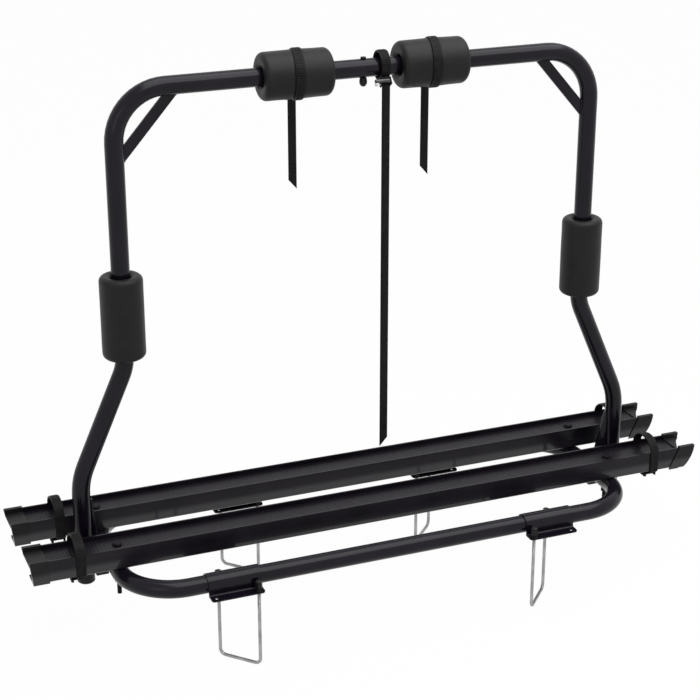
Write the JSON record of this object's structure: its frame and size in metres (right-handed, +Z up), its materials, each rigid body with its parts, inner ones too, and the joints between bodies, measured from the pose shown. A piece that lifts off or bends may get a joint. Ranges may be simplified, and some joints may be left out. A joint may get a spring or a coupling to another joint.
{
  "type": "drawbar bicycle rack",
  "caption": "Drawbar bicycle rack: capped wheel rails on a tubular base loop with clamp U-bolts, and a bent tube hoop with foam pads and straps.",
  "frame": {"origin": "on the ground under the middle of the rack, where the lowest points of the U-bolts stand", "axes": "+X along the wheel rails, +Y from the front tube to the rear tube, +Z up"},
  "size_m": [1.3, 0.392, 1.0352],
  "materials": {
    "tube_coat": "satin black powder coat",
    "rail_coat": "black coated extrusion",
    "end_cap": "moulded black plastic",
    "foam": "matte closed-cell foam",
    "strap_rubber": "toothed black strap",
    "buckle": "black plastic",
    "lever_metal": "bright metal",
    "steel_wire": "zinc plated steel",
    "zinc_steel": "plated steel",
    "black_nut": "black cap"
  },
  "bodies": {
    "rack": {"front_rail": "rail_coat", "rear_rail": "rail_coat", "base_loop": "tube_coat", "hoop": "tube_coat", "hoop_bolt": "zinc_steel", "rail_bolts": "zinc_steel", "rail_nuts": "zinc_steel", "middle_strap_band": "strap_rubber", "middle_buckle": "buckle", "middle_strap_tail": "strap_rubber", "front_rail_left_cap": "end_cap", "front_left_wheel_strap": "strap_rubber", "front_left_wheel_buckle": "buckle", "front_rail_right_cap": "end_cap", "front_right_wheel_strap": "strap_rubber", "front_right_wheel_buckle": "buckle", "rear_rail_left_cap": "end_cap", "rear_left_wheel_strap": "strap_rubber", "rear_left_wheel_buckle": "buckle", "rear_rail_right_cap": "end_cap", "rear_right_wheel_strap": "strap_rubber", "rear_right_wheel_buckle": "buckle", "left_corner_brace": "tube_coat", "left_foot_bracket": "tube_coat", "left_top_pad": "foam", "left_leg_pad": "foam", "left_pad_strap_band": "strap_rubber", "left_pad_buckle": "buckle", "left_pad_strap_tail": "strap_rubber", "left_foot_plug": "end_cap", "right_corner_brace": "tube_coat", "right_foot_bracket": "tube_coat", "right_top_pad": "foam", "right_leg_pad": "foam", "right_pad_strap_band": "strap_rubber", "right_pad_buckle": "buckle", "right_pad_strap_tail": "strap_rubber", "right_foot_plug": "end_cap"},
    "front_left_grip": {"front_left_clamp": "tube_coat", "front_left_ubolt": "steel_wire", "front_left_nuts": "black_nut"},
    "front_right_grip": {"front_right_clamp": "tube_coat", "front_right_ubolt": "steel_wire", "front_right_nuts": "black_nut"},
    "rear_left_grip": {"rear_left_clamp": "tube_coat", "rear_left_ubolt": "steel_wire", "rear_left_nuts": "black_nut"},
    "rear_right_grip": {"rear_right_clamp": "tube_coat", "rear_right_ubolt": "steel_wire", "rear_right_nuts": "black_nut"},
    "left_pad_lever": {"left_pad_buckle_lever": "lever_metal"},
    "right_pad_lever": {"right_pad_buckle_lever": "lever_metal"},
    "middle_lever": {"middle_buckle_lever": "lever_metal"},
    "front_left_wheel_lever": {"front_left_wheel_buckle_lever": "lever_metal"},
    "front_right_wheel_lever": {"front_right_wheel_buckle_lever": "lever_metal"},
    "rear_left_wheel_lever": {"rear_left_wheel_buckle_lever": "lever_metal"},
    "rear_right_wheel_lever": {"rear_right_wheel_buckle_lever": "lever_metal"},
    "knob": {"hoop_knob": "black_nut"}
  },
  "joints": [
    {"name": "front_left_grip_slide", "type": "slide", "parent": "rack", "child": "front_left_grip", "axis": [1, 0, 0], "range_m": [-0.025, 0.2]},
    {"name": "front_right_grip_slide", "type": "slide", "parent": "rack", "child": "front_right_grip", "axis": [1, 0, 0], "range_m": [-0.2, 0.035]},
    {"name": "rear_left_grip_slide", "type": "slide", "parent": "rack", "child": "rear_left_grip", "axis": [1, 0, 0], "range_m": [-0.12, 0.145]},
    {"name": "rear_right_grip_slide", "type": "slide", "parent": "rack", "child": "rear_right_grip", "axis": [1, 0, 0], "range_m": [-0.145, 0.12]},
    {"name": "left_pad_lever_hinge", "type": "hinge", "parent": "rack", "child": "left_pad_lever", "pos_m": [-0.1216, 0.05495, 0.95164], "axis": [-1, 0, 0], "range_deg": [0, 75]},
    {"name": "right_pad_lever_hinge", "type": "hinge", "parent": "rack", "child": "right_pad_lever", "pos_m": [0.1284, 0.05495, 0.95164], "axis": [-1, 0, 0], "range_deg": [0, 75]},
    {"name": "middle_lever_hinge", "type": "hinge", "parent": "rack", "child": "middle_lever", "pos_m": [0.0333, 0.00729, 0.96543], "axis": [1, 0, 0], "range_deg": [0, 60]},
    {"name": "front_left_wheel_lever_hinge", "type": "hinge", "parent": "rack", "child": "front_left_wheel_lever", "pos_m": [-0.5665, -0.0592, 0.1728], "axis": [1, 0, 0], "range_deg": [0, 80]},
    {"name": "front_right_wheel_lever_hinge", "type": "hinge", "parent": "rack", "child": "front_right_wheel_lever", "pos_m": [0.5575, -0.0592, 0.1728], "axis": [1, 0, 0], "range_deg": [0, 80]},
    {"name": "rear_left_wheel_lever_hinge", "type": "hinge", "parent": "rack", "child": "rear_left_wheel_lever", "pos_m": [-0.5665, 0.0952, 0.1728], "axis": [1, 0, 0], "range_deg": [0, 80]},
    {"name": "rear_right_wheel_lever_hinge", "type": "hinge", "parent": "rack", "child": "rear_right_wheel_lever", "pos_m": [0.5575, 0.0952, 0.1728], "axis": [1, 0, 0], "range_deg": [0, 80]},
    {"name": "knob_turn", "type": "hinge", "parent": "rack", "child": "knob", "pos_m": [0, 0.028, 0.9676], "axis": [0, 0, 1], "continuous": true}
  ]
}
